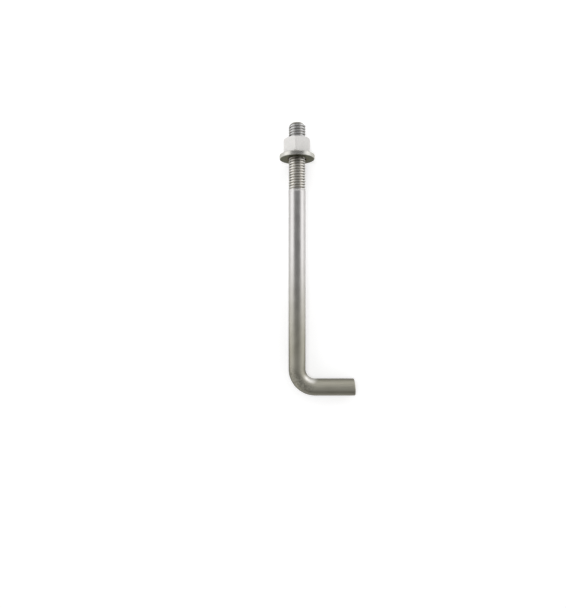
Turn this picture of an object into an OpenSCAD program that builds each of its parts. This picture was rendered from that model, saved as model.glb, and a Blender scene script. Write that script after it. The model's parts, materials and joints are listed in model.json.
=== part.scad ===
// Cast-in L anchor bolt with its flat washer and hexagon nut, lying at rest on a level surface.
// Millimetres. The origin is on that surface, in the middle of the part's outline seen from above.
// +Y runs along the shank towards the thread and +X along the leg of the hook.

/* [Rod] */
// Diameter of the round bar
rod_d = 12.7; // [11.4:0.1:13]
// Overall length, from the tip of the thread to the outside of the hook
overall_length = 203.2; // [150:0.1:300]
// Reach of the hook, from the outside of the shank to the longest point of the leg
hook_length = 50; // [40:0.1:100]
// Radius on the inside of the bend
bend_inside_r = 7.2; // [3:0.1:18]
// Slant of the sheared end of the leg, in degrees
end_slant = 4; // [0:0.5:8]

/* [Thread] */
// Diameter over the crests of the thread
thread_d = 12.5; // [11.5:0.05:13]
// Distance from one turn of the thread to the next
thread_pitch = 1.954; // [1.5:0.001:2.4]
// Depth of the thread
thread_depth = 1; // [0.4:0.05:1.2]
// Length of full thread, from the tip
thread_length = 48; // [32:0.1:80]
// Length over which the thread runs out into the bare bar
thread_runout = 2.5; // [0.5:0.1:6]
// Chamfer at the tip
tip_chamfer = 2; // [0.4:0.1:2.5]

/* [Nut] */
// Width across the flats
nut_flats = 19.05; // [18:0.05:20.5]
// Height between the end faces
nut_height = 11.8; // [9:0.1:14]
// Diameter of the round land that the corner chamfers leave on each end face
nut_land_d = 17.8; // [16:0.1:18]
// Slope of the corner chamfers, in degrees
nut_chamfer_slope = 30; // [15:1:40]
// Diameter of the countersink at each mouth of the bore
nut_countersink_d = 13.9; // [13.6:0.1:15]
// Distance from the tip of the thread down to the top of the nut
nut_setback = 11.6; // [5:0.1:15]
// Turn of the nut from having a flat squarely upwards, in degrees
nut_turn = 23; // [0:1:59]

/* [Washer] */
// Outside diameter
washer_d = 26.2; // [25:0.1:36]
// Diameter of the hole
washer_bore = 13.5; // [13.4:0.1:15]
// Thickness
washer_thickness = 3; // [1.6:0.1:4]
// Radius of the rounded edges
washer_edge_r = 0.4; // [0.1:0.05:0.6]

/* [Fits] */
// Gap all round between the crests of the thread and the bore of the nut
thread_clearance = 0.08; // [0.02:0.01:0.15]

/* [Hidden] */
$fn = 96;

rod_colour = [0.55, 0.54, 0.49];
washer_colour = [0.63, 0.62, 0.57];
nut_colour = [0.85, 0.83, 0.80];

right_angle = 90;
half_turn = 180;
hex_sides = 6;
flank_angle = 30;
root_flats_in_pitch = 8;

// Places along the upright shank, measured from the axis of the leg
rod_r = rod_d / 2;
thread_r = thread_d / 2;
bend_axis_r = bend_inside_r + rod_r;
tip_z = overall_length - rod_r;
thread_end_z = tip_z - thread_length;

// Each turn of the thread is drawn as a ring groove with flat crests and a flat root
root_r = thread_r - thread_depth;
root_half = thread_pitch / root_flats_in_pitch / 2;
groove_half = root_half + thread_depth * tan(flank_angle);
groove_last = floor((thread_length - tip_chamfer - 2 * groove_half) / thread_pitch);

nut_z = tip_z - nut_setback - nut_height;
washer_z = nut_z - washer_thickness;

// The leg's stock runs on past its end by one bar diameter, and the slanted cut takes that off
leg_end_x = hook_length - rod_r;
leg_stock = leg_end_x - bend_axis_r + rod_d;
cut_block = 4 * rod_d;

washer_r = washer_d / 2;
nut_corner_r = nut_flats / 2 / cos(half_turn / hex_sides);
nut_bore_r = thread_r + thread_clearance;

// The part lies on its leg and on the lower edge of the washer's rim, which lifts the threaded end
rim_r = washer_r - washer_edge_r;
rim_z = washer_z + washer_edge_r;
rest_tilt = acos((rod_r - washer_edge_r) / norm([rim_r, rim_z])) - atan2(rim_z, rim_r);
tip_reach = tip_z * cos(rest_tilt) + (thread_r - tip_chamfer) * sin(rest_tilt);
rest_middle = [(leg_end_x - washer_r) / 2, (tip_reach - rod_r) / 2, -rod_r];

// Lays down what is drawn with the shank upright on Z and the leg along X
module laid_down() {
    translate(-rest_middle) rotate([rest_tilt - right_angle, 0, 0]) children();
}

// Outline of one groove, from its lower edge to its upper edge
function groove(z) = [
    [thread_r, z - groove_half],
    [root_r, z - root_half],
    [root_r, z + root_half],
    [thread_r, z + groove_half]
];

// Straight shank with the grooves of its thread, turned about Z
module shank() {
    rotate_extrude() polygon([
        [0, bend_axis_r],
        [rod_r, bend_axis_r],
        [rod_r, thread_end_z - thread_runout],
        for (turn = [0:groove_last]) each groove(thread_end_z + groove_half + turn * thread_pitch),
        [thread_r, tip_z - tip_chamfer],
        [thread_r - tip_chamfer, tip_z],
        [0, tip_z]
    ]);
}

// Quarter bend from the foot of the shank into the leg
module bend() {
    translate([bend_axis_r, 0, bend_axis_r])
        rotate([right_angle, 0, 0])
            rotate(half_turn)
                rotate_extrude(angle = right_angle)
                    translate([bend_axis_r, 0]) circle(d = rod_d);
}

// Straight leg, sheared off at a slight slant that leaves its outer side longest
module leg() {
    difference() {
        translate([bend_axis_r, 0, 0]) rotate([0, right_angle, 0]) cylinder(d = rod_d, h = leg_stock);
        translate([leg_end_x, 0, -rod_r])
            rotate([0, -end_slant, 0])
                translate([0, -cut_block / 2, -cut_block / 2]) cube(cut_block);
    }
}

// The bar, threaded at one end and bent to a hook at the other
module anchor_rod() {
    color(rod_colour) laid_down() {
        shank();
        bend();
        leg();
    }
}

// Section of a flat ring with its four edges rounded
module ring_section(inner_r, outer_r, thickness, edge_r) {
    width = outer_r - inner_r;
    translate([inner_r + edge_r, 0]) square([width - 2 * edge_r, thickness]);
    translate([inner_r, edge_r]) square([width, thickness - 2 * edge_r]);
    for (x = [inner_r + edge_r, outer_r - edge_r], y = [edge_r, thickness - edge_r])
        translate([x, y]) circle(r = edge_r);
}

// The washer, lying against the underside of the nut
module flat_washer() {
    color(washer_colour) laid_down() translate([0, 0, washer_z]) rotate_extrude()
        ring_section(washer_bore / 2, washer_r, washer_thickness, washer_edge_r);
}

// Turned blank that takes the corners off both ends of the hexagon
module corner_chamfers() {
    land_r = nut_land_d / 2;
    drop = (nut_corner_r - land_r) * tan(nut_chamfer_slope);
    rotate_extrude() polygon([
        [0, 0],
        [land_r, 0],
        [nut_corner_r, drop],
        [nut_corner_r, nut_height - drop],
        [land_r, nut_height],
        [0, nut_height]
    ]);
}

// Bore of the nut with a right-angled countersink at each mouth
module nut_bore() {
    sink_r = nut_countersink_d / 2;
    sink = sink_r - nut_bore_r;
    rotate_extrude() polygon([
        [0, 0],
        [sink_r, 0],
        [nut_bore_r, sink],
        [nut_bore_r, nut_height - sink],
        [sink_r, nut_height],
        [0, nut_height]
    ]);
}

// The nut, with one corner turned nearly straight up
module hex_nut() {
    color(nut_colour) laid_down() translate([0, 0, nut_z]) rotate(nut_turn) difference() {
        intersection() {
            cylinder(r = nut_corner_r, h = nut_height, $fn = hex_sides);
            corner_chamfers();
        }
        nut_bore();
    }
}

anchor_rod();
flat_washer();
hex_nut();
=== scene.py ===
import json
import math

import bmesh
import bpy
from mathutils import Matrix, Vector


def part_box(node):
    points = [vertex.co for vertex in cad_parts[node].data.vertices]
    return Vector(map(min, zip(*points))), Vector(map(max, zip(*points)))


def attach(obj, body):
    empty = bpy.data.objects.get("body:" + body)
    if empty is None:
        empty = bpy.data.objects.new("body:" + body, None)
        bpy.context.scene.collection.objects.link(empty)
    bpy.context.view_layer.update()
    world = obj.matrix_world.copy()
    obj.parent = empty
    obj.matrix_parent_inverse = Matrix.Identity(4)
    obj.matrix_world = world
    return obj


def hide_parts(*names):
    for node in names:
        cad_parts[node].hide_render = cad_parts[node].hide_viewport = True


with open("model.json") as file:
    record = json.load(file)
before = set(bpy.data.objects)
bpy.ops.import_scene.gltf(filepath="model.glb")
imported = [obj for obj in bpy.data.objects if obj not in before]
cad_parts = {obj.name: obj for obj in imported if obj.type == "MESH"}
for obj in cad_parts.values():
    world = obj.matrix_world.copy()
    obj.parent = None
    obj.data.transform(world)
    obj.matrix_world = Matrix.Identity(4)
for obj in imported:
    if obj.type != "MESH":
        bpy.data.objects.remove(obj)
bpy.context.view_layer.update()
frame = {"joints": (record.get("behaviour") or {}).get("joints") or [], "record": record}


# The anchor rod: one round steel bar with a coarse thread rolled on its upper end. It is bent cold round a
# former into a square hook, sheared off at the end of the leg and then dipped in molten zinc, which leaves
# a satin grey skin with faint clouds and fills the corners of the thread a little.

millimetre = 0.001
full_turn = 2 * math.pi
quarter_turn = math.pi / 2

mounts = {mount["name"]: mount for mount in frame["record"]["mounts"]}
screw_ratio = frame["record"]["behaviour"]["couplings"][0]["ratio"]
leg_mount = mounts["hook_leg"]
thread_mount = mounts["thread_stud"]

along_shank = Vector(thread_mount["axis"])
along_leg = Vector(leg_mount["axis"])
tip = Vector(thread_mount["pos_m"])
leg_middle = Vector(leg_mount["pos_m"])
elbow = leg_middle + along_leg * (tip - leg_middle).dot(along_leg)

# Pieces are shaped upright, with the shank on Z, the leg along X and the elbow of their axes at the origin.
laid_down = Matrix((along_leg, along_shank.cross(along_leg), along_shank)).transposed().to_4x4()
laid_down.translation = elbow

bar_r = leg_mount["dims"]["r_mm"] * millimetre
thread_r = thread_mount["dims"]["r_mm"] * millimetre
thread_length = thread_mount["dims"]["length_mm"] * millimetre
leg_length = leg_mount["dims"]["length_mm"] * millimetre
tip_height = (tip - elbow).dot(along_shank)
bend_r = (leg_middle - elbow).dot(along_leg) - leg_length / 2
pitch = screw_ratio * full_turn

thread_depth = 1.05 * millimetre
thread_runout = 2.5 * millimetre
tip_chamfer = 2 * millimetre
sheared_edge_r = 0.6 * millimetre
sheared_slant = math.radians(4)

# Shares of half the pitch, from the middle of a crest, where a flank starts and where the root is reached
flank_span = (0.2, 0.9)

rows_in_turn = 16
rod_columns = 80
bar_row = 1.2 * millimetre
edge_rows = 5
face_rows = 6
weld_distance = 0.002 * millimetre
crisp_angle = math.radians(38)


class Field:
    """A number that a node tree works out at every point, so that a rule reads as it is written."""

    def __init__(self, tree, socket):
        self.tree = tree
        self.socket = socket

    def use(self, operation, *others):
        """The result of a Math node on this number and the others."""
        node = self.tree.nodes.new("ShaderNodeMath")
        node.operation = operation
        for place, value in enumerate((self, *others)):
            if isinstance(value, Field):
                self.tree.links.new(value.socket, node.inputs[place])
            else:
                node.inputs[place].default_value = value
        return Field(self.tree, node.outputs["Value"])

    def __add__(self, other):
        return self.use("ADD", other)

    def __sub__(self, other):
        return self.use("SUBTRACT", other)

    def __mul__(self, other):
        return self.use("MULTIPLY", other)

    def __truediv__(self, other):
        return self.use("DIVIDE", other)

    def __rsub__(self, other):
        return self.use("MULTIPLY_ADD", -1, other)

    __radd__ = __add__
    __rmul__ = __mul__

    def least(self, other):
        return self.use("MINIMUM", other)

    def most(self, other):
        return self.use("MAXIMUM", other)

    def within(self, low, high):
        return self.most(low).least(high)

    def smooth(self, low, high):
        """0 below low and 1 above high, with a soft start and end between them."""
        node = self.tree.nodes.new("ShaderNodeMapRange")
        node.interpolation_type = "SMOOTHSTEP"
        self.tree.links.new(self.socket, node.inputs["Value"])
        node.inputs["From Min"].default_value = low
        node.inputs["From Max"].default_value = high
        return Field(self.tree, node.outputs["Result"])


def shaped_patch(tree, columns, rows, rule, size, mark):
    """The socket of a grid of columns and rows that a rule shapes. The rule says where a point lies and how
    strong its mark is, from its share of the way round and of the way along."""
    nodes, links = tree.nodes, tree.links
    grid = nodes.new("GeometryNodeMeshGrid")
    grid.inputs["Size X"].default_value = 1
    grid.inputs["Size Y"].default_value = 1
    grid.inputs["Vertices X"].default_value = columns + 1
    grid.inputs["Vertices Y"].default_value = rows + 1
    place = nodes.new("ShaderNodeSeparateXYZ")
    links.new(nodes.new("GeometryNodeInputPosition").outputs["Position"], place.inputs["Vector"])
    round_share = Field(tree, place.outputs["X"]) + 1 / 2
    along_share = Field(tree, place.outputs["Y"]) + 1 / 2
    *point, strength = rule(round_share, along_share, size)
    marked = nodes.new("GeometryNodeStoreNamedAttribute")
    marked.inputs["Name"].default_value = mark
    links.new(grid.outputs["Mesh"], marked.inputs["Geometry"])
    links.new(strength.socket, marked.inputs["Value"])
    spot = nodes.new("ShaderNodeCombineXYZ")
    for field, socket in zip(point, spot.inputs):
        links.new(field.socket, socket)
    shaped = nodes.new("GeometryNodeSetPosition")
    links.new(marked.outputs["Geometry"], shaped.inputs["Geometry"])
    links.new(spot.outputs["Vector"], shaped.inputs["Position"])
    return shaped.outputs["Geometry"]


def ruled_tree(name, sizes, patches, mark, material):
    """A Geometry Nodes tree with named sizes that joins its patches, closes their seams and coats them."""
    tree = bpy.data.node_groups.new(name, "GeometryNodeTree")
    for label in sizes:
        tree.interface.new_socket(label, in_out="INPUT", socket_type="NodeSocketFloat")
    tree.interface.new_socket("Mesh", in_out="OUTPUT", socket_type="NodeSocketGeometry")
    nodes, links = tree.nodes, tree.links
    given = nodes.new("NodeGroupInput")
    size = {label: Field(tree, given.outputs[label]) for label in sizes}
    joined = nodes.new("GeometryNodeJoinGeometry")
    for columns, rows, rule in patches:
        links.new(shaped_patch(tree, columns, rows, rule, size, mark), joined.inputs["Geometry"])
    welded = nodes.new("GeometryNodeMergeByDistance")
    welded.inputs["Distance"].default_value = weld_distance
    smoothed = nodes.new("GeometryNodeSetShadeSmooth")
    realized = nodes.new("GeometryNodeRealizeInstances")
    coated = nodes.new("GeometryNodeSetMaterial")
    coated.inputs["Material"].default_value = material
    steps = [joined, welded, smoothed, realized, coated, nodes.new("NodeGroupOutput")]
    for before, after in zip(steps, steps[1:]):
        links.new(before.outputs[0], after.inputs[0])
    return tree


def ruled_piece(name, sizes, patches, mark, material):
    """A piece with the plain mesh that its tree makes, laid down where the frame has it."""
    piece = bpy.data.objects.new(name, bpy.data.meshes.new(name))
    bpy.context.scene.collection.objects.link(piece)
    modifier = piece.modifiers.new("Rule", "NODES")
    modifier.node_group = ruled_tree(name, sizes, patches, mark, material)
    for socket in modifier.node_group.interface.items_tree:
        if socket.in_out == "INPUT":
            modifier[socket.identifier] = sizes[socket.name]
    evaluated = piece.evaluated_get(bpy.context.evaluated_depsgraph_get())
    mesh = bpy.data.meshes.new_from_object(evaluated)
    piece.modifiers.remove(modifier)
    piece.data = mesh

    mesh.materials.clear()
    mesh.materials.append(material)
    skin = bmesh.new()
    skin.from_mesh(mesh)
    for facet in skin.faces:
        facet.material_index = 0
    bmesh.ops.recalc_face_normals(skin, faces=skin.faces)
    skin.to_mesh(mesh)
    skin.free()
    mesh.set_sharp_from_angle(angle=crisp_angle)
    mesh.transform(laid_down)
    return piece


def groove_of(turns):
    """How deep in the groove of the thread a point lies: 0 on a crest and 1 in a root."""
    from_root = (turns.use("FRACT") * 2 - 1).use("ABSOLUTE")
    from_crest = 1 - from_root
    return from_crest.smooth(*flank_span)


# The lattice of the thread climbs one pitch from its first column to its last, so it has a turn to spare.
tip_turns = 2
climb_turns = 1
thread_zone = thread_length + thread_runout
rod_turns = tip_turns + math.ceil(thread_zone / pitch) + climb_turns


def threaded_end(round_share, along_share, size):
    """Skin of the threaded end, on a lattice that climbs with the thread, with the face of the tip."""
    turns = along_share * rod_turns
    below_tip = (turns - tip_turns - round_share) * size["Pitch"]
    fall = below_tip.within(0, thread_zone)
    runout = (fall - size["Thread length"]).within(0, thread_runout) / thread_runout
    groove = groove_of(turns) * (1 - runout)
    body_r = size["Thread radius"] + (size["Bar radius"] - size["Thread radius"]) * runout
    grooved_r = body_r - size["Thread depth"] * groove
    cone_r = fall + size["Thread radius"] - size["Tip chamfer"]
    chamfered_r = grooved_r.least(cone_r)
    cut = (body_r.least(cone_r) - chamfered_r) / size["Thread depth"]
    to_middle = (below_tip / (tip_turns * size["Pitch"]) + 1).within(0, 1)
    radius = chamfered_r * to_middle
    angle = round_share * full_turn
    return radius * angle.use("COSINE"), radius * angle.use("SINE"), tip_height - fall, cut


straight_end = tip_height - bend_r
bend_length = bend_r * quarter_turn
bar_length = straight_end + bend_length + leg_length - thread_zone
body_rows = math.ceil(bar_length / bar_row)
bar_rows = body_rows + edge_rows + face_rows


def plain_bar(round_share, along_share, size):
    """Skin of the plain shank, the bend and the leg, closed by the sheared face. It has no groove."""
    row = along_share * bar_rows
    body = (row / body_rows).within(0, 1)
    edge = ((row - body_rows) / edge_rows).within(0, 1) * quarter_turn
    face = ((row - body_rows - edge_rows) / face_rows).within(0, 1)
    run = thread_zone + body * (bar_length - size["Edge radius"]) + size["Edge radius"] * edge.use("SINE")
    radius = (size["Bar radius"] - size["Edge radius"] * (1 - edge.use("COSINE"))) * (1 - face)
    angle = round_share * full_turn
    inward = radius * angle.use("COSINE")
    sideways = radius * angle.use("SINE")
    swing = (run - straight_end).within(0, bend_length) / size["Bend radius"]
    turned, level = swing.use("SINE"), swing.use("COSINE")
    on_leg = (run - straight_end - bend_length).most(0)
    slant = (inward + size["Bar radius"]) * (math.tan(sheared_slant) / leg_length)
    reach = on_leg * (1 - slant)
    x = size["Bend radius"] * (1 - level) + reach + inward * level
    z = tip_height - run.least(straight_end) - size["Bend radius"] * turned + inward * turned
    return x, sideways, z, round_share * 0


def value_group(name, inputs, outputs):
    """An empty shader node group with named number sockets, and its input and output nodes."""
    group = bpy.data.node_groups.new(name, "ShaderNodeTree")
    for label in inputs:
        group.interface.new_socket(label, in_out="INPUT", socket_type="NodeSocketFloat")
    for label in outputs:
        group.interface.new_socket(label, in_out="OUTPUT", socket_type="NodeSocketFloat")
    return group, group.nodes.new("NodeGroupInput"), group.nodes.new("NodeGroupOutput")


def object_place(tree):
    """The socket of a point's place in the shared frame."""
    return tree.nodes.new("ShaderNodeTexCoord").outputs["Object"]


# The zinc skin, shared by the rod, the washer and the nut: soft clouds where the coat cooled unevenly,
# blotches, the pale and dull crystals of the zinc, a fine grain and a few pits.
zinc, zinc_in, zinc_out = value_group(
    "zinc_skin",
    ["Cloud scale", "Crystal scale", "Grain scale"],
    ["Cloud", "Blotch", "Crystal", "Grain", "Height"],
)
zinc_place = object_place(zinc)


def zinc_texture(kind, scale):
    """A texture of the zinc skin, at the scale that one of the group's inputs gives."""
    node = zinc.nodes.new(kind)
    zinc.links.new(zinc_place, node.inputs["Vector"])
    zinc.links.new(zinc_in.outputs[scale], node.inputs["Scale"])
    return node


def zinc_noise(scale, detail, span):
    """A noise of the zinc skin, with its contrast raised so that it runs from 0 to 1 over a span."""
    node = zinc_texture("ShaderNodeTexNoise", scale)
    node.inputs["Detail"].default_value = detail
    return Field(zinc, node.outputs["Fac"]).smooth(*span)


pit_span = (0.0, 0.35)
grain_relief = 0.5
pit_relief = 0.3
crystal_relief = 0.2

cloud = zinc_noise("Cloud scale", detail=4.0, span=(0.3, 0.7))
grain = zinc_noise("Grain scale", detail=3.0, span=(0.3, 0.7))
blotch = zinc_noise("Crystal scale", detail=3.0, span=(0.35, 0.65))
crystal_node = zinc_texture("ShaderNodeTexVoronoi", "Crystal scale")
crystal_split = zinc.nodes.new("ShaderNodeSeparateColor")
zinc.links.new(crystal_node.outputs["Color"], crystal_split.inputs["Color"])
crystal = Field(zinc, crystal_split.outputs["Red"])
pit_node = zinc_texture("ShaderNodeTexVoronoi", "Grain scale")
pits = Field(zinc, pit_node.outputs["Distance"]).smooth(*pit_span)
zinc_fields = {
    "Cloud": cloud,
    "Blotch": blotch,
    "Crystal": crystal,
    "Grain": grain,
    "Height": grain * grain_relief + pits * pit_relief + crystal * crystal_relief,
}
for label, field in zinc_fields.items():
    zinc.links.new(field.socket, zinc_out.inputs[label])


def zinc_material(name, cloud_size, crystal_size, grain_size):
    """A new material with its shader, and the zinc skin's outputs at the sizes given."""
    material = bpy.data.materials.new(name)
    material.use_nodes = True
    tree = material.node_tree
    skin = tree.nodes.new("ShaderNodeGroup")
    skin.node_tree = zinc
    skin.inputs["Cloud scale"].default_value = 1 / cloud_size
    skin.inputs["Crystal scale"].default_value = 1 / crystal_size
    skin.inputs["Grain scale"].default_value = 1 / grain_size
    fields = {label: Field(tree, skin.outputs[label]) for label in zinc_fields}
    return material, tree, tree.nodes["Principled BSDF"], fields


def zinc_mix(fields, shares):
    """The sum of some of the zinc skin's outputs, each times its share."""
    first, *rest = [fields[label] * share for label, share in shares.items()]
    return sum(rest, first)


def mixed_colour(tree, share, low, high):
    """The socket of a colour that runs from low to high with share; each is a colour or a socket."""
    node = tree.nodes.new("ShaderNodeMix")
    node.data_type = "RGBA"
    factor, first, second = node.inputs[0], node.inputs[6], node.inputs[7]
    tree.links.new(share.socket, factor)
    for value, socket in ((low, first), (high, second)):
        if isinstance(value, tuple):
            socket.default_value = (*value, 1)
        else:
            tree.links.new(value, socket)
    return node.outputs[2]


def bumped(tree, shader, height_field, depth):
    """Gives a shader the fine relief that height_field describes, depth from its lowest to its highest."""
    bump = tree.nodes.new("ShaderNodeBump")
    bump.inputs["Distance"].default_value = depth
    tree.links.new(height_field.socket, bump.inputs["Height"])
    tree.links.new(bump.outputs["Normal"], shader.inputs["Normal"])


def marked_by(tree, mark):
    """The mark that a piece's mesh carries at each point."""
    node = tree.nodes.new("ShaderNodeAttribute")
    node.attribute_name = mark
    return Field(tree, node.outputs["Fac"])


rod_material, rod_tree, rod_shader, rod_zinc = zinc_material(
    "rod_zinc",
    cloud_size=9 * millimetre,
    crystal_size=1.3 * millimetre,
    grain_size=0.35 * millimetre,
)
rod_point = object_place(rod_tree)
rod_split = rod_tree.nodes.new("ShaderNodeSeparateXYZ")
rod_tree.links.new(rod_point, rod_split.inputs["Vector"])
rod_across = Field(rod_tree, rod_split.outputs["X"])
rod_along = Field(rod_tree, rod_split.outputs["Y"])
rod_height = Field(rod_tree, rod_split.outputs["Z"])
below_middle = rod_along * -1
rod_mottle = zinc_mix(rod_zinc, {"Cloud": 0.6, "Crystal": 0.2, "Grain": 0.2})

# The bar is a clear grey at the thread and turns duller and more olive towards the foot.
bar_pale = (0.62, 0.605, 0.596)
bar_dull = (0.547, 0.532, 0.523)
foot_pale = (0.47, 0.455, 0.39)
foot_dull = (0.38, 0.365, 0.30)
foot_span = (-15 * millimetre, 75 * millimetre)
toward_foot = below_middle.smooth(*foot_span)
upper_colour = mixed_colour(rod_tree, rod_mottle, bar_dull, bar_pale)
foot_colour = mixed_colour(rod_tree, rod_mottle, foot_dull, foot_pale)
bar_colour = mixed_colour(rod_tree, toward_foot, upper_colour, foot_colour)

# Cutting tools leave fine marks along the shank's direction on the sheared end and on the tip.
score_width = 0.7 * millimetre
score_stretch = 0.05
score_span = (0.35, 0.65)
score_map = rod_tree.nodes.new("ShaderNodeMapping")
score_map.inputs["Scale"].default_value = (1, score_stretch, 1)
rod_tree.links.new(rod_point, score_map.inputs["Vector"])
score_node = rod_tree.nodes.new("ShaderNodeTexNoise")
score_node.inputs["Scale"].default_value = 1 / score_width
rod_tree.links.new(score_map.outputs["Vector"], score_node.inputs["Vector"])
scored = Field(rod_tree, score_node.outputs["Fac"]).smooth(*score_span)

# The rolled thread is brighter than the bar, greyer above the nut and dull on the cropped tip.
rolled_pale = (0.80, 0.78, 0.742)
rolled_dull = (0.64, 0.62, 0.588)
tip_pale = (0.676, 0.676, 0.68)
tip_dull = (0.541, 0.538, 0.539)
cropped_pale = (0.42, 0.41, 0.378)
cropped_dull = (0.30, 0.292, 0.268)
cropped_score = 0.5
thread_foot = (tip - along_shank * thread_zone).y
rolled_span = (thread_foot - 0.48 * millimetre, thread_foot + 3.52 * millimetre)
tip_span = (tip.y - 21.44 * millimetre, tip.y - 12.44 * millimetre)
cropped_span = (tip.y - 2.44 * millimetre, tip.y - 1.64 * millimetre)
rolled = rod_along.smooth(*rolled_span)
above_nut = rod_along.smooth(*tip_span)
cropped = rod_along.smooth(*cropped_span)
cropped_mottle = rod_mottle * (1 - cropped_score) + scored * cropped_score
rolled_skin = mixed_colour(rod_tree, rod_mottle, rolled_dull, rolled_pale)
tip_skin = mixed_colour(rod_tree, rod_mottle, tip_dull, tip_pale)
cropped_skin = mixed_colour(rod_tree, cropped_mottle, cropped_dull, cropped_pale)
thread_skin = mixed_colour(rod_tree, above_nut, rolled_skin, tip_skin)
end_colour = mixed_colour(rod_tree, cropped, thread_skin, cropped_skin)
rolled_colour = mixed_colour(rod_tree, rolled, bar_colour, end_colour)

# The top of the leg is painted paler, a painted highlight along its top.
leg_outside = bar_r - elbow.y
leg_highlight_pale = (0.70, 0.68, 0.58)
leg_highlight_strength = 0.55
leg_highlight_span = (leg_outside - 15.6 * millimetre, leg_outside - 10.6 * millimetre)
leg_highlight_rise = (12.0 * millimetre, 12.65 * millimetre)
leg_highlight = below_middle.smooth(*leg_highlight_span) * rod_height.smooth(*leg_highlight_rise) * leg_highlight_strength
leg_highlight_colour = mixed_colour(rod_tree, leg_highlight, rolled_colour, leg_highlight_pale)

# The outside of the bend, where the metal stretched, has a flaked skin with dark specks and pale flecks.
bend_middle = elbow + (along_leg + along_shank) * bend_r
diagonal = math.sqrt(1 / 2)
from_middle_x = rod_across - bend_middle.x
from_middle_y = below_middle + bend_middle.y
fleck_pale = (0.64, 0.62, 0.54)
fleck_strength = 0.2
fleck_span = (0.1, 0.35)
speck_strength = 0.55
speck_least = 0.17
speck_span = (0.05, 0.95)
stretched_span = (7.465 * millimetre, 15.95 * millimetre)
stretched = ((from_middle_y - from_middle_x) * diagonal).smooth(*stretched_span)
flaking = zinc_mix(rod_zinc, {"Blotch": 0.75, "Crystal": 0.25})
speckled = stretched * (flaking.smooth(*speck_span) * speck_strength + speck_least)
flecked = stretched * (1 - flaking.smooth(*fleck_span)) * fleck_strength
flecked_colour = mixed_colour(rod_tree, flecked, leg_highlight_colour, fleck_pale)

# The inside of the bend is painted bright, a painted highlight and the brightest part of the bar.
bend_highlight_pale = (0.86, 0.842, 0.805)
bend_highlight_reach = (8.5 * millimetre, 11.8 * millimetre)
bend_highlight_middle = 2.2 * millimetre
bend_highlight_sides = (2.2 * millimetre, 5.8 * millimetre)
from_middle = (from_middle_x * from_middle_x + from_middle_y * from_middle_y).use("SQRT")
round_bend = ((from_middle_x + from_middle_y) * diagonal - bend_highlight_middle).use("ABSOLUTE")
bend_highlight = (1 - from_middle.smooth(*bend_highlight_reach)) * (1 - round_bend.smooth(*bend_highlight_sides))
rod_colour = mixed_colour(rod_tree, bend_highlight, flecked_colour, bend_highlight_pale)

# Painted shade darkens the lower side and outside of the hook, the lower side of the thread and its
# grooves.
painted_shade_dark = (0.17, 0.163, 0.135)
groove_shade_dark = (0.21, 0.192, 0.142)
thread_side_shade_dark = (0.10, 0.092, 0.07)
outside_shade_span = (leg_outside - 7.1 * millimetre, leg_outside - 2.6 * millimetre)
outside_shade_strength = 0.6
underside_shade_strength = 0.85
highlight_lift_share = 0.3
underside_shade_span = (8.8 * millimetre, 12.0 * millimetre)
underside_shade = (1 - rod_height.smooth(*underside_shade_span)) * toward_foot
hook_shade = (below_middle.smooth(*outside_shade_span) * outside_shade_strength).most(underside_shade * underside_shade_strength)
axis_rise = along_shank.z / along_shank.y
above_axis = rod_height - elbow.z + (below_middle + elbow.y) * axis_rise
# The lower side of the threaded end gets painted shade, crests included.
thread_side_shade_span = (2.1 * millimetre, 4.3 * millimetre)
thread_side_shade = 1 - above_axis.smooth(*thread_side_shade_span)
# The roots of the thread's grooves get painted shade.
groove_span = (0.35, 1.0)
groove_shade_strength = 0.5
side_shade_strength = 0.5
side_shade_least = 0.4
groove = marked_by(rod_tree, "groove")
side_groove_shade = (groove * side_shade_strength + side_shade_least) * thread_side_shade * rolled
groove_shade = (groove.smooth(*groove_span) * groove_shade_strength).most(side_groove_shade)
# Painted shade and the dark specks of the bend darken the skin together.
shade_and_speck_share = groove_shade.most(hook_shade * (1 - bend_highlight * highlight_lift_share)).most(speckled * (1 - bend_highlight))
groove_shade_colour = mixed_colour(rod_tree, thread_side_shade, groove_shade_dark, thread_side_shade_dark)
shade_and_speck_colour = mixed_colour(rod_tree, toward_foot, groove_shade_colour, painted_shade_dark)
skin_colour = mixed_colour(rod_tree, shade_and_speck_share, rod_colour, shade_and_speck_colour)

# The sheared end of the leg shows the marks of the blade under its zinc.
score_pale = (0.46, 0.447, 0.388)
score_dark = (0.33, 0.318, 0.266)
sheared_span = (-0.3 * millimetre, -0.075 * millimetre)
leg_end = elbow.x + bend_r + leg_length
past_shear = rod_across - leg_end - (below_middle - leg_outside) * math.tan(sheared_slant)
sheared = past_shear.smooth(*sheared_span)
score_colour = mixed_colour(rod_tree, scored, score_dark, score_pale)
rod_tree.links.new(
    mixed_colour(rod_tree, sheared, skin_colour, score_colour), rod_shader.inputs["Base Color"]
)

# The skin is satin, rougher towards the foot and smoother under the painted highlight inside the bend.
full_metal = 1.0
rod_edge_tint = (0.68, 0.68, 0.66)
satin_roughness = 0.27
foot_roughness = 0.17
bend_highlight_polish = 0.12
score_relief = 2.5
rod_relief_depth = 0.012 * millimetre
rod_roughness = zinc_mix(rod_zinc, {"Cloud": 0.06, "Crystal": 0.04}) + satin_roughness
rod_roughness = rod_roughness + toward_foot * foot_roughness - bend_highlight * bend_highlight_polish
rod_tree.links.new(rod_roughness.socket, rod_shader.inputs["Roughness"])
rod_shader.inputs["Metallic"].default_value = full_metal
rod_shader.inputs["Specular Tint"].default_value = (*rod_edge_tint, 1)
rod_relief = rod_zinc["Height"] + scored * sheared.most(cropped) * score_relief
bumped(rod_tree, rod_shader, rod_relief, rod_relief_depth)

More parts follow.
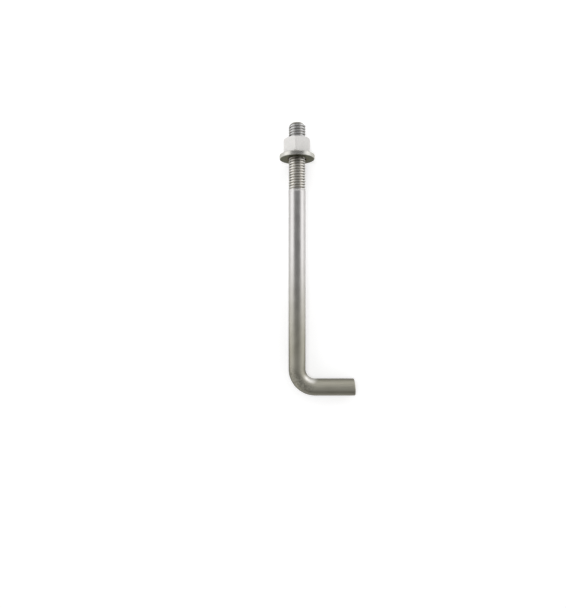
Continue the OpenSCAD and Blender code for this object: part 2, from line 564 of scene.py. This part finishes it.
rod = ruled_piece(
    "zinc_coated_rod",
    {
        "Pitch": pitch,
        "Thread radius": thread_r,
        "Thread length": thread_length,
        "Thread depth": thread_depth,
        "Tip chamfer": tip_chamfer,
        "Bar radius": bar_r,
        "Bend radius": bend_r,
        "Edge radius": sheared_edge_r,
    },
    [
        (rod_columns, rod_turns * rows_in_turn, threaded_end),
        (rod_columns, bar_rows, plain_bar),
    ],
    "groove",
    rod_material,
)
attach(rod, "rod")
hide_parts("anchor_rod")


# The flat washer: a ring punched from steel plate and galvanised. It is loose on the thread and lies
# against the nut. Its rim is smooth and bright and its faces are duller; the face away from the nut is
# painted much darker, a painted shade.

washer_low, washer_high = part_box("flat_washer")
washer_r = (washer_high[0] - washer_low[0]) / 2
washer_hole_r = 6.75 * millimetre
washer_edge_r = 0.4 * millimetre
washer_under = (Vector(mounts["washer_seat"]["pos_m"]) - elbow).dot(along_shank)
washer_thickness = 3 * millimetre

# A row of points on the flat at each side of a rounded corner keeps the flats flat in smooth shading.
washer_columns = 128
section_corners = 4
corner_rows = 4
brace_points = 2
corner_steps = corner_rows + 1 + brace_points
brace = 0.12 * millimetre

# Shares of half the ring's width, from its middle out, where the rim's tone starts and where it is full
rim_span = (0.85, 0.97)


def washer_ring(round_share, along_share, size):
    """Skin of the ring: a section with four rounded corners, each braced by a row on the flat beside it."""
    step = (along_share * (section_corners * corner_steps)).use("ROUND")
    corner = ((step + 1 / 2) / corner_steps).use("FLOOR")
    in_corner = step - corner * corner_steps - 1
    arc = in_corner.within(0, corner_rows)
    lead = (in_corner - arc) * brace
    angle = (corner + arc / corner_rows) * quarter_turn
    towards = (corner + 1 / 2) * quarter_turn
    out_sign = towards.use("COSINE").use("SIGN")
    up_sign = towards.use("SINE").use("SIGN")
    half_width = (size["Outer radius"] - size["Hole radius"]) / 2
    middle_r = (size["Outer radius"] + size["Hole radius"]) / 2
    out = (half_width - size["Edge radius"]) * out_sign
    out = out + size["Edge radius"] * angle.use("COSINE") - lead * angle.use("SINE")
    up = (size["Thickness"] / 2 - size["Edge radius"]) * up_sign
    up = up + size["Edge radius"] * angle.use("SINE") + lead * angle.use("COSINE")
    radius = middle_r + out
    turn = round_share * full_turn
    rim = (out / half_width).smooth(*rim_span)
    height_up = up + washer_under + size["Thickness"] / 2
    return radius * turn.use("COSINE"), radius * turn.use("SINE"), height_up, rim


def vector_math(tree, operation, vector, other=None):
    """A node that works on a vector's socket, and on one more vector where it needs one."""
    node = tree.nodes.new("ShaderNodeVectorMath")
    node.operation = operation
    tree.links.new(vector, node.inputs[0])
    if other is not None:
        node.inputs[1].default_value = other
    return node


washer_material, washer_tree, washer_shader, washer_zinc = zinc_material(
    "washer_zinc",
    cloud_size=5 * millimetre,
    crystal_size=1.2 * millimetre,
    grain_size=0.3 * millimetre,
)
washer_mottle = zinc_mix(washer_zinc, {"Cloud": 0.5, "Crystal": 0.3, "Grain": 0.2})
from_elbow = vector_math(washer_tree, "SUBTRACT", object_place(washer_tree), elbow).outputs["Vector"]
off_axis_arm = vector_math(washer_tree, "CROSS_PRODUCT", from_elbow, along_shank).outputs["Vector"]
off_axis = Field(washer_tree, vector_math(washer_tree, "LENGTH", off_axis_arm).outputs["Value"])
up_axis_node = vector_math(washer_tree, "DOT_PRODUCT", from_elbow, along_shank)
up_axis = Field(washer_tree, up_axis_node.outputs["Value"])

# The face away from the nut is painted dark, a painted shade, with a brown stain round the hole.
washer_shade_pale = (0.098, 0.097, 0.077)
washer_shade_dull = (0.060, 0.060, 0.046)
washer_stain = (0.075, 0.055, 0.03)
stain_width = 3.5 * millimetre
stain_strength = 0.8
stained = (1 - off_axis.smooth(washer_hole_r, washer_hole_r + stain_width)) * stain_strength
shaded_washer_face = mixed_colour(washer_tree, washer_mottle, washer_shade_dull, washer_shade_pale)
stained_shaded_face = mixed_colour(washer_tree, stained, shaded_washer_face, washer_stain)

# The face against the nut is paler, and the rim is the palest.
washer_top_pale = (0.30, 0.295, 0.262)
washer_top_dull = (0.22, 0.216, 0.188)
washer_rim_colour = (0.53, 0.522, 0.49)
top_span = (0.4, 0.6)
on_top = ((up_axis - washer_under) / washer_thickness).smooth(*top_span)
on_rim = marked_by(washer_tree, "rim")
washer_top = mixed_colour(washer_tree, washer_mottle, washer_top_dull, washer_top_pale)
washer_faces = mixed_colour(washer_tree, on_top, stained_shaded_face, washer_top)
washer_tree.links.new(
    mixed_colour(washer_tree, on_rim, washer_faces, washer_rim_colour), washer_shader.inputs["Base Color"]
)

washer_edge_tint = (0.74, 0.75, 0.67)
washer_roughness_least = 0.36
washer_roughness_spread = 0.12
rim_polish = 0.14
washer_relief_depth = 0.02 * millimetre
washer_roughness = washer_mottle * washer_roughness_spread + washer_roughness_least - on_rim * rim_polish
washer_tree.links.new(washer_roughness.socket, washer_shader.inputs["Roughness"])
washer_shader.inputs["Metallic"].default_value = full_metal
washer_shader.inputs["Specular Tint"].default_value = (*washer_edge_tint, 1)
bumped(washer_tree, washer_shader, washer_zinc["Height"], washer_relief_depth)

washer = ruled_piece(
    "punched_washer",
    {
        "Outer radius": washer_r,
        "Hole radius": washer_hole_r,
        "Edge radius": washer_edge_r,
        "Thickness": washer_thickness,
    },
    [(washer_columns, section_corners * corner_steps, washer_ring)],
    "rim",
    washer_material,
)
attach(washer, "washer")
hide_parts("flat_washer")


# The hexagon nut: forged, chamfered at both ends, galvanised to a pale frosty white and then tapped
# oversize, so that it runs on the zinc-coated thread. The nut carries the same thread inside.

nut_flats = 19.05 * millimetre
nut_land_r = 8.9 * millimetre
nut_chamfer_slope = math.radians(30)
nut_sink_r = 6.95 * millimetre
nut_turn = math.radians(23)
tapped_clearance = 0.12 * millimetre
nut_under = washer_under + washer_thickness
joints = {joint["name"]: joint for joint in frame["joints"]}
nut_middle = (Vector(joints["nut_turn"]["pos_m"]) - elbow).dot(along_shank)
nut_height = 2 * (nut_middle - nut_under)
nut_top_below_tip = tip_height - nut_under - nut_height
nut_under_below_tip = tip_height - nut_under

hex_sides = 6
side_angle = full_turn / hex_sides
side_columns = 12
nut_columns = side_columns * hex_sides
land_rows = 2
chamfer_rows = 2
flat_rows = 4
half_rows = land_rows + chamfer_rows + flat_rows
nut_first_turn = math.floor(nut_top_below_tip / pitch)
nut_spare_turns = 2
nut_turns = math.ceil(nut_under_below_tip / pitch) + nut_spare_turns - nut_first_turn


def hex_body(round_share, along_share, size):
    """Outside of the nut, from the mouth of the bore at its foot round to the mouth at its top."""
    from_corner = round_share * full_turn
    from_flat = (from_corner / side_angle).use("FRACT") * side_angle - side_angle / 2
    flat_r = size["Flats"] / 2 / from_flat.use("COSINE")
    row = (1 - (along_share * 2 - 1).use("ABSOLUTE")) * half_rows
    on_land = (row / land_rows).within(0, 1)
    on_chamfer = ((row - land_rows) / chamfer_rows).within(0, 1)
    on_flat = ((row - land_rows - chamfer_rows) / flat_rows).within(0, 1)
    land = size["Land radius"]
    radius = size["Sink radius"] + (land - size["Sink radius"]) * on_land + (flat_r - land) * on_chamfer
    drop = (flat_r - land) * math.tan(nut_chamfer_slope)
    inset = drop * on_chamfer + (size["Height"] / 2 - drop) * on_flat
    end = (along_share - 1 / 2).use("SIGN")
    angle = from_corner + nut_turn
    up = nut_middle + end * (size["Height"] / 2 - inset)
    return radius * angle.use("COSINE"), radius * angle.use("SINE"), up, round_share * 0


def tapped_bore(round_share, along_share, size):
    """Inside of the nut: the rod's own thread with a clearance, and a countersink at each mouth."""
    turns = along_share * nut_turns
    turned = round_share + nut_turn / full_turn
    below_tip = (turns + nut_first_turn - turned) * size["Pitch"]
    fall = below_tip.within(nut_top_below_tip, nut_under_below_tip)
    groove = groove_of(turns)
    tapped_r = size["Thread radius"] + tapped_clearance - size["Thread depth"] * groove
    top_sink = size["Sink radius"] - (fall - nut_top_below_tip)
    under_sink = size["Sink radius"] - (nut_under_below_tip - fall)
    radius = tapped_r.most(top_sink).most(under_sink)
    angle = turned * full_turn
    return radius * angle.use("COSINE"), radius * angle.use("SINE"), tip_height - fall, 1 - groove


nut_pale = (0.76, 0.747, 0.73)
nut_dull = (0.66, 0.647, 0.625)
# Painted shade: the roots of the thread in the bore are painted dark.
bore_shade_dark = (0.22, 0.21, 0.19)
bore_shade_strength = 0.9
frosted_metal = 0.2
nut_roughness_least = 0.36
nut_roughness_spread = 0.14
nut_relief_depth = 0.02 * millimetre

nut_material, nut_tree, nut_shader, nut_zinc = zinc_material(
    "nut_zinc",
    cloud_size=6 * millimetre,
    crystal_size=1.0 * millimetre,
    grain_size=0.28 * millimetre,
)
nut_mottle = zinc_mix(nut_zinc, {"Cloud": 0.45, "Blotch": 0.35, "Crystal": 0.2})
nut_colour = mixed_colour(nut_tree, nut_mottle, nut_dull, nut_pale)
bore_root_shade = marked_by(nut_tree, "groove") * bore_shade_strength
nut_tree.links.new(
    mixed_colour(nut_tree, bore_root_shade, nut_colour, bore_shade_dark), nut_shader.inputs["Base Color"]
)
nut_roughness = nut_mottle * nut_roughness_spread + nut_roughness_least
nut_tree.links.new(nut_roughness.socket, nut_shader.inputs["Roughness"])
nut_shader.inputs["Metallic"].default_value = frosted_metal
bumped(nut_tree, nut_shader, nut_zinc["Height"], nut_relief_depth)

nut = ruled_piece(
    "tapped_nut",
    {
        "Pitch": pitch,
        "Thread radius": thread_r,
        "Thread depth": thread_depth,
        "Flats": nut_flats,
        "Height": nut_height,
        "Land radius": nut_land_r,
        "Sink radius": nut_sink_r,
    },
    [
        (nut_columns, 2 * half_rows, hex_body),
        (nut_columns, nut_turns * rows_in_turn, tapped_bore),
    ],
    "groove",
    nut_material,
)

# The crisp edges outside the round lands are worn to a small radius.
worn_edge = 0.25 * millimetre
worn_segments = 3
round_profile = 0.5
past_land = 1.02
nut_skin = bmesh.new()
nut_skin.from_mesh(nut.data)
forged_edges = []
for edge in nut_skin.edges:
    edge_middle = (edge.verts[0].co + edge.verts[1].co) / 2 - elbow
    edge_off_axis = edge_middle - along_shank * edge_middle.dot(along_shank)
    if edge_off_axis.length > nut_land_r * past_land and edge.calc_face_angle(0) > crisp_angle:
        forged_edges.append(edge)
bmesh.ops.bevel(
    nut_skin,
    geom=forged_edges,
    offset=worn_edge,
    segments=worn_segments,
    profile=round_profile,
    affect="EDGES",
    clamp_overlap=True,
)
nut_skin.to_mesh(nut.data)
nut_skin.free()
nut.data.set_sharp_from_angle(angle=crisp_angle)
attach(nut, "nut")
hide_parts("hex_nut")


# The studio: a white floor that the bolt lies on, in a tent of light that is dim overhead. A broad lamp
# stands on each side of the threaded end and another high beyond the tip, a lamp above fills in without a
# glint of its own, and a grey card beyond the foot of the hook shows only in the metal.

sheet_corners = ((-1, -1), (1, -1), (1, 1), (-1, 1))
matt_roughness = 0.9


def stage_sheet(name, corners, colour):
    """A flat matt sheet of one colour, with the four corners given."""
    mesh = bpy.data.meshes.new(name)
    mesh.from_pydata(corners, [], [(0, 1, 2, 3)])
    sheet = bpy.data.objects.new(name, mesh)
    bpy.context.scene.collection.objects.link(sheet)
    material = bpy.data.materials.new(name)
    material.use_nodes = True
    shader = material.node_tree.nodes["Principled BSDF"]
    shader.inputs["Base Color"].default_value = (*colour, 1)
    shader.inputs["Roughness"].default_value = matt_roughness
    mesh.materials.append(material)
    return sheet


# The floor glows a little to the eye and in reflections, so that it looks white under plain light.
white = (1, 1, 1)
floor_reach = 30.0
floor_colour = (0.75, 0.75, 0.75)
floor_gloss = 0.1
floor_glow = 0.43
far_floor_glow = 0.57
far_span = (0.3, 2.0)
floor = stage_sheet(
    "floor", [(x * floor_reach, y * floor_reach, 0) for x, y in sheet_corners], floor_colour
)
floor_tree = floor.active_material.node_tree
floor_shader = floor_tree.nodes["Principled BSDF"]
floor_shader.inputs["Specular IOR Level"].default_value = floor_gloss
floor_shader.inputs["Emission Color"].default_value = (*white, 1)
floor_path = floor_tree.nodes.new("ShaderNodeLightPath")
floor_seen = Field(floor_tree, floor_path.outputs["Is Camera Ray"])
for ray in ("Is Glossy Ray", "Is Transmission Ray"):
    floor_seen = floor_seen.most(Field(floor_tree, floor_path.outputs[ray]))
from_origin = vector_math(floor_tree, "LENGTH", object_place(floor_tree)).outputs["Value"]
far_share = Field(floor_tree, from_origin).smooth(*far_span)
glow = floor_seen * (floor_glow + far_share * (far_floor_glow - floor_glow))
floor_tree.links.new(glow.socket, floor_shader.inputs["Emission Strength"])

world = bpy.data.worlds.new("light_tent")
bpy.context.scene.world = world
world.use_nodes = True
sky_tree = world.node_tree
sky_split = sky_tree.nodes.new("ShaderNodeSeparateXYZ")
sky_tree.links.new(
    sky_tree.nodes.new("ShaderNodeTexCoord").outputs["Generated"], sky_split.inputs["Vector"]
)
overhead_light = 0.24
horizon_light = 1.0
overhead_span = (0.25, 0.98)
overhead = Field(sky_tree, sky_split.outputs["Z"]).smooth(*overhead_span)
sky_light = horizon_light + overhead * (overhead_light - horizon_light)
sky_shader = sky_tree.nodes["Background"]
sky_tree.links.new(sky_light.socket, sky_shader.inputs["Strength"])
sky_shader.inputs["Color"].default_value = (*white, 1)


def soft_lamp(name, place, aim, size, radiance):
    """A rectangular lamp of the size given, which shines with an even radiance."""
    lamp = bpy.data.lights.new(name, "AREA")
    lamp.shape = "RECTANGLE"
    lamp.size, lamp.size_y = size
    lamp.energy = radiance * math.pi * size[0] * size[1]
    stand = bpy.data.objects.new(name, lamp)
    stand.location = place
    stand.rotation_euler = (aim - place).to_track_quat("-Z", "Y").to_euler()
    bpy.context.scene.collection.objects.link(stand)
    return stand


strip_size = (0.50, 0.42)
strip_radiance = 0.68
strip_off = Vector((0.42, 0, 0))
strip_aim = Vector((0, 0.21, 0.23))
for side in (-1, 1):
    soft_lamp("side_strip", strip_aim + strip_off * side, strip_aim, strip_size, strip_radiance)

tip_lamp_size = (1.2, 0.84)
tip_lamp_radiance = 0.45
tip_lamp_place = Vector((0, 1.03, 1.14))
tip_lamp_aim = Vector((0, -0.09, 0))
soft_lamp("tip_lamp", tip_lamp_place, tip_lamp_aim, tip_lamp_size, tip_lamp_radiance)

fill_size = (0.4, 0.4)
fill_radiance = 4.0
fill_place = Vector((-0.15, 0, 0.85))
fill_aim = Vector((-0.015, 0, 0))
fill_lamp = soft_lamp("fill_lamp", fill_place, fill_aim, fill_size, fill_radiance)
fill_lamp.visible_glossy = False

card_colour = (0.24, 0.235, 0.21)
card_reach = 0.2
card_height = 0.26
card_y = -0.42
card = stage_sheet(
    "grey_card",
    [(x * card_reach, card_y, (1 + z) * card_height / 2) for x, z in sheet_corners],
    card_colour,
)
card.visible_camera = False
card.visible_diffuse = False
card.visible_shadow = False

# The camera stands almost straight over the foot of the shank and looks down on the bolt.
eye = Vector((-0.0258, -0.0430, 0.3634))
looks_at = Vector((-0.0258, -0.0327, 0.0))
lens_mm = 28
camera_data = bpy.data.cameras.new("camera")
camera_data.lens = lens_mm
camera = bpy.data.objects.new("camera", camera_data)
camera.location = eye
camera.rotation_euler = (looks_at - eye).to_track_quat("-Z", "Y").to_euler()
bpy.context.scene.collection.objects.link(camera)
bpy.context.scene.camera = camera
bpy.context.scene.view_settings.view_transform = "Standard"
